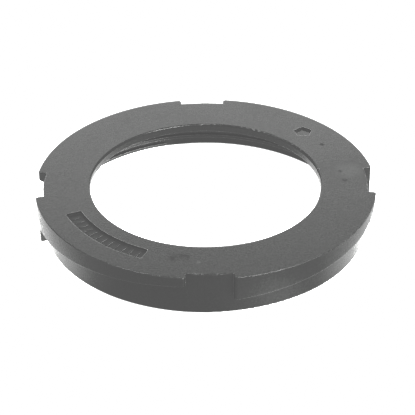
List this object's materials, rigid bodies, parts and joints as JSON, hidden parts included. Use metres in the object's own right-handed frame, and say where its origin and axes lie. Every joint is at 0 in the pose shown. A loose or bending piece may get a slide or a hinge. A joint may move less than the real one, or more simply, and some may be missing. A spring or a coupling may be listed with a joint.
{
  "type": "toilet flange locking ring",
  "caption": "Moulded plastic toilet flange ring with a flat lip, notched and ramped rim, inner thread, and a slip washer and gasket held under the lip.",
  "frame": {"origin": "on the ring's axis, level with the bottom of the skirt", "axes": "+Z along the ring's axis, up towards the flat top face; the spanner notches are centred on +X, +Y, -X and -Y"},
  "size_m": [0.1632, 0.1632, 0.021],
  "materials": {
    "ring_plastic": "fine satin moulded surface, dark grey",
    "washer_plastic": "smooth natural white",
    "gasket_rubber": "matt black rubber"
  },
  "bodies": {
    "ring": {"locking_ring": "ring_plastic"},
    "slip_washer": {"slip_washer": "washer_plastic"},
    "gasket": {"gasket": "gasket_rubber"}
  },
  "joints": [
    {"name": "slip_washer_turn", "type": "hinge", "parent": "ring", "child": "slip_washer", "pos_m": [0, 0, 0.0164], "axis": [0, 0, 1], "continuous": true},
    {"name": "gasket_turn", "type": "hinge", "parent": "ring", "child": "gasket", "pos_m": [0, 0, 0.01395], "axis": [0, 0, 1], "continuous": true}
  ]
}
